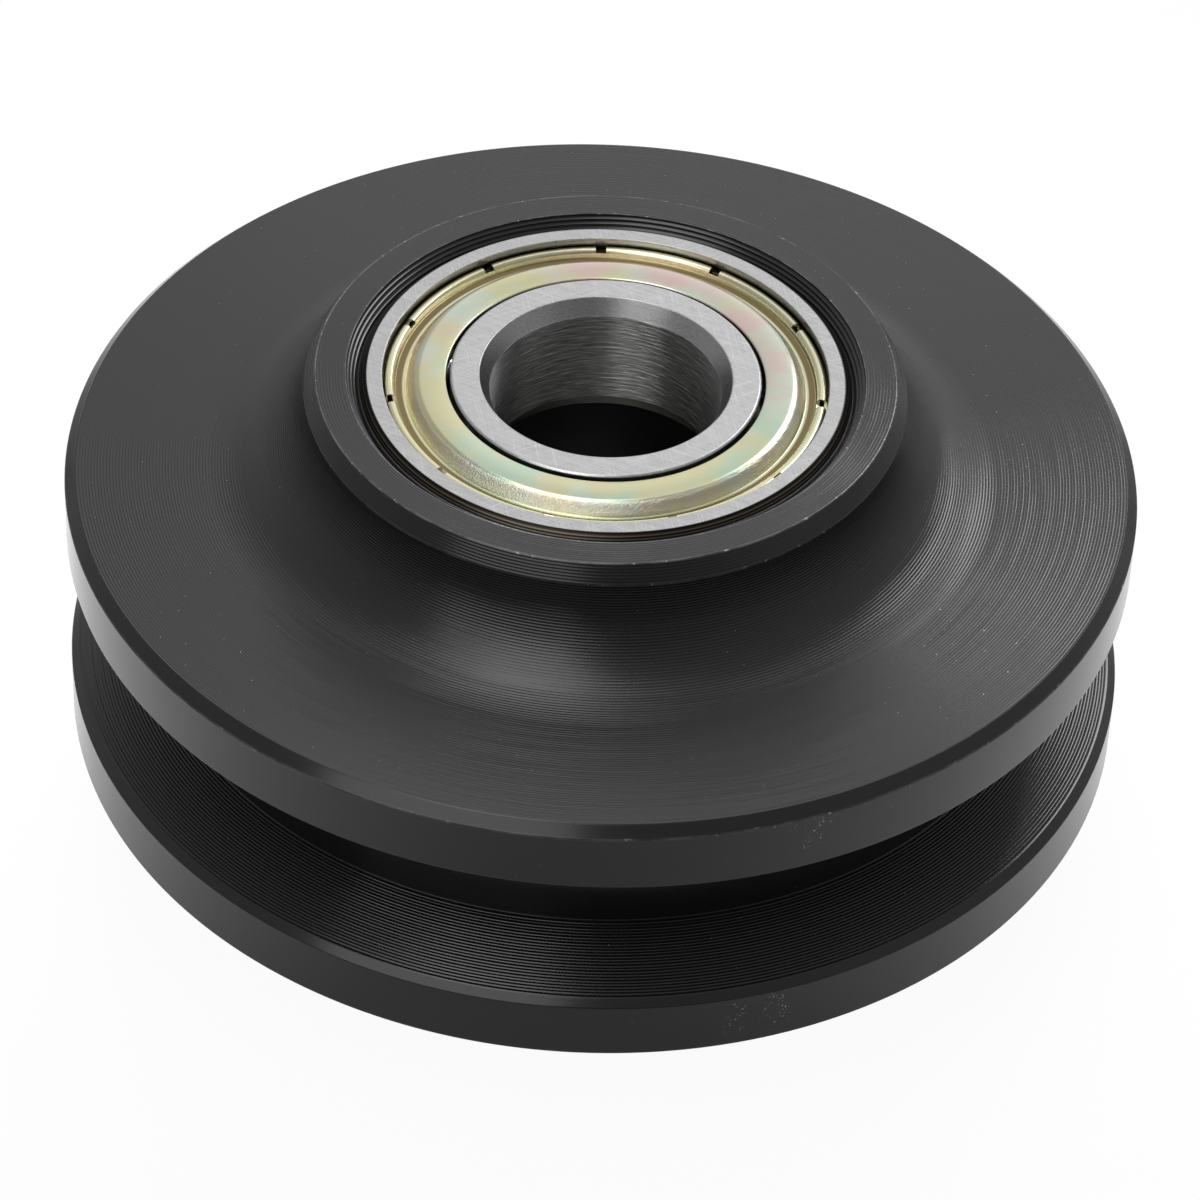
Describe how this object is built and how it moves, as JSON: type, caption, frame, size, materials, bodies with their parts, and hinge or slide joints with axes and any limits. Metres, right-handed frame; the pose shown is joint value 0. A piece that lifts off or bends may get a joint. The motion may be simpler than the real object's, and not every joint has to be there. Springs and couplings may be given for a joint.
{
  "type": "barn door roller",
  "caption": "Grooved door roller turned from black plastic, with a hub on both faces and a shielded ball bearing pressed into each end of the hub to run on an axle.",
  "frame": {"origin": "centre of the wheel, on its axis and midway between the two hub ends", "axes": "+Z along the wheel's axis, so the roller stands on its lower hub end; X and Y lie in the wheel's plane"},
  "size_m": [0.07, 0.07, 0.0346],
  "materials": {
    "black_nylon": "turned, satin",
    "ground_steel": "ground",
    "yellow_zinc": "yellow passivated zinc, satin",
    "ball_steel": "polished",
    "cage_steel": "pressed, plain"
  },
  "bodies": {
    "wheel": {"wheel_body": "black_nylon", "upper_outer_ring": "ground_steel", "upper_front_shield": "yellow_zinc", "upper_rear_shield": "yellow_zinc", "lower_outer_ring": "ground_steel", "lower_front_shield": "yellow_zinc", "lower_rear_shield": "yellow_zinc"},
    "upper_inner_ring": {"upper_inner_ring": "ground_steel"},
    "upper_cage": {"upper_cage_front_half": "cage_steel", "upper_cage_rear_half": "cage_steel", "upper_cage_rivets": "cage_steel"},
    "upper_ball_1": {"upper_ball_1": "ball_steel"},
    "upper_ball_2": {"upper_ball_2": "ball_steel"},
    "upper_ball_3": {"upper_ball_3": "ball_steel"},
    "upper_ball_4": {"upper_ball_4": "ball_steel"},
    "upper_ball_5": {"upper_ball_5": "ball_steel"},
    "upper_ball_6": {"upper_ball_6": "ball_steel"},
    "upper_ball_7": {"upper_ball_7": "ball_steel"},
    "upper_ball_8": {"upper_ball_8": "ball_steel"},
    "upper_ball_9": {"upper_ball_9": "ball_steel"},
    "lower_inner_ring": {"lower_inner_ring": "ground_steel"},
    "lower_cage": {"lower_cage_front_half": "cage_steel", "lower_cage_rear_half": "cage_steel", "lower_cage_rivets": "cage_steel"},
    "lower_ball_1": {"lower_ball_1": "ball_steel"},
    "lower_ball_2": {"lower_ball_2": "ball_steel"},
    "lower_ball_3": {"lower_ball_3": "ball_steel"},
    "lower_ball_4": {"lower_ball_4": "ball_steel"},
    "lower_ball_5": {"lower_ball_5": "ball_steel"},
    "lower_ball_6": {"lower_ball_6": "ball_steel"},
    "lower_ball_7": {"lower_ball_7": "ball_steel"},
    "lower_ball_8": {"lower_ball_8": "ball_steel"},
    "lower_ball_9": {"lower_ball_9": "ball_steel"}
  },
  "joints": [
    {"name": "upper_inner_ring_spin", "type": "hinge", "parent": "wheel", "child": "upper_inner_ring", "pos_m": [0, 0, 0.0125], "axis": [0, 0, 1], "continuous": true},
    {"name": "upper_cage_spin", "type": "hinge", "parent": "wheel", "child": "upper_cage", "pos_m": [0, 0, 0.0125], "axis": [0, 0, 1], "continuous": true},
    {"name": "upper_ball_1_spin", "type": "hinge", "parent": "upper_cage", "child": "upper_ball_1", "pos_m": [0.01175, 0, 0.0125], "axis": [0, 0, 1], "continuous": true},
    {"name": "upper_ball_2_spin", "type": "hinge", "parent": "upper_cage", "child": "upper_ball_2", "pos_m": [0.009, 0.00755, 0.0125], "axis": [0, 0, 1], "continuous": true},
    {"name": "upper_ball_3_spin", "type": "hinge", "parent": "upper_cage", "child": "upper_ball_3", "pos_m": [0.00204, 0.01157, 0.0125], "axis": [0, 0, 1], "continuous": true},
    {"name": "upper_ball_4_spin", "type": "hinge", "parent": "upper_cage", "child": "upper_ball_4", "pos_m": [-0.00588, 0.01018, 0.0125], "axis": [0, 0, 1], "continuous": true},
    {"name": "upper_ball_5_spin", "type": "hinge", "parent": "upper_cage", "child": "upper_ball_5", "pos_m": [-0.01104, 0.00402, 0.0125], "axis": [0, 0, 1], "continuous": true},
    {"name": "upper_ball_6_spin", "type": "hinge", "parent": "upper_cage", "child": "upper_ball_6", "pos_m": [-0.01104, -0.00402, 0.0125], "axis": [0, 0, 1], "continuous": true},
    {"name": "upper_ball_7_spin", "type": "hinge", "parent": "upper_cage", "child": "upper_ball_7", "pos_m": [-0.00588, -0.01018, 0.0125], "axis": [0, 0, 1], "continuous": true},
    {"name": "upper_ball_8_spin", "type": "hinge", "parent": "upper_cage", "child": "upper_ball_8", "pos_m": [0.00204, -0.01157, 0.0125], "axis": [0, 0, 1], "continuous": true},
    {"name": "upper_ball_9_spin", "type": "hinge", "parent": "upper_cage", "child": "upper_ball_9", "pos_m": [0.009, -0.00755, 0.0125], "axis": [0, 0, 1], "continuous": true},
    {"name": "lower_inner_ring_spin", "type": "hinge", "parent": "wheel", "child": "lower_inner_ring", "pos_m": [0, 0, -0.0125], "axis": [0, 0, 1], "continuous": true},
    {"name": "lower_cage_spin", "type": "hinge", "parent": "wheel", "child": "lower_cage", "pos_m": [0, 0, -0.0125], "axis": [0, 0, 1], "continuous": true},
    {"name": "lower_ball_1_spin", "type": "hinge", "parent": "lower_cage", "child": "lower_ball_1", "pos_m": [0.01175, 0, -0.0125], "axis": [0, 0, 1], "continuous": true},
    {"name": "lower_ball_2_spin", "type": "hinge", "parent": "lower_cage", "child": "lower_ball_2", "pos_m": [0.009, 0.00755, -0.0125], "axis": [0, 0, 1], "continuous": true},
    {"name": "lower_ball_3_spin", "type": "hinge", "parent": "lower_cage", "child": "lower_ball_3", "pos_m": [0.00204, 0.01157, -0.0125], "axis": [0, 0, 1], "continuous": true},
    {"name": "lower_ball_4_spin", "type": "hinge", "parent": "lower_cage", "child": "lower_ball_4", "pos_m": [-0.00588, 0.01018, -0.0125], "axis": [0, 0, 1], "continuous": true},
    {"name": "lower_ball_5_spin", "type": "hinge", "parent": "lower_cage", "child": "lower_ball_5", "pos_m": [-0.01104, 0.00402, -0.0125], "axis": [0, 0, 1], "continuous": true},
    {"name": "lower_ball_6_spin", "type": "hinge", "parent": "lower_cage", "child": "lower_ball_6", "pos_m": [-0.01104, -0.00402, -0.0125], "axis": [0, 0, 1], "continuous": true},
    {"name": "lower_ball_7_spin", "type": "hinge", "parent": "lower_cage", "child": "lower_ball_7", "pos_m": [-0.00588, -0.01018, -0.0125], "axis": [0, 0, 1], "continuous": true},
    {"name": "lower_ball_8_spin", "type": "hinge", "parent": "lower_cage", "child": "lower_ball_8", "pos_m": [0.00204, -0.01157, -0.0125], "axis": [0, 0, 1], "continuous": true},
    {"name": "lower_ball_9_spin", "type": "hinge", "parent": "lower_cage", "child": "lower_ball_9", "pos_m": [0.009, -0.00755, -0.0125], "axis": [0, 0, 1], "continuous": true}
  ],
  "couplings": [
    {"joint": "upper_cage_spin", "follows": "upper_inner_ring_spin", "ratio": 0.39868},
    {"joint": "upper_ball_1_spin", "follows": "upper_inner_ring_spin", "ratio": -2.3661},
    {"joint": "upper_ball_2_spin", "follows": "upper_inner_ring_spin", "ratio": -2.3661},
    {"joint": "upper_ball_3_spin", "follows": "upper_inner_ring_spin", "ratio": -2.3661},
    {"joint": "upper_ball_4_spin", "follows": "upper_inner_ring_spin", "ratio": -2.3661},
    {"joint": "upper_ball_5_spin", "follows": "upper_inner_ring_spin", "ratio": -2.3661},
    {"joint": "upper_ball_6_spin", "follows": "upper_inner_ring_spin", "ratio": -2.3661},
    {"joint": "upper_ball_7_spin", "follows": "upper_inner_ring_spin", "ratio": -2.3661},
    {"joint": "upper_ball_8_spin", "follows": "upper_inner_ring_spin", "ratio": -2.3661},
    {"joint": "upper_ball_9_spin", "follows": "upper_inner_ring_spin", "ratio": -2.3661},
    {"joint": "lower_cage_spin", "follows": "lower_inner_ring_spin", "ratio": 0.39868},
    {"joint": "lower_ball_1_spin", "follows": "lower_inner_ring_spin", "ratio": -2.3661},
    {"joint": "lower_ball_2_spin", "follows": "lower_inner_ring_spin", "ratio": -2.3661},
    {"joint": "lower_ball_3_spin", "follows": "lower_inner_ring_spin", "ratio": -2.3661},
    {"joint": "lower_ball_4_spin", "follows": "lower_inner_ring_spin", "ratio": -2.3661},
    {"joint": "lower_ball_5_spin", "follows": "lower_inner_ring_spin", "ratio": -2.3661},
    {"joint": "lower_ball_6_spin", "follows": "lower_inner_ring_spin", "ratio": -2.3661},
    {"joint": "lower_ball_7_spin", "follows": "lower_inner_ring_spin", "ratio": -2.3661},
    {"joint": "lower_ball_8_spin", "follows": "lower_inner_ring_spin", "ratio": -2.3661},
    {"joint": "lower_ball_9_spin", "follows": "lower_inner_ring_spin", "ratio": -2.3661}
  ]
}
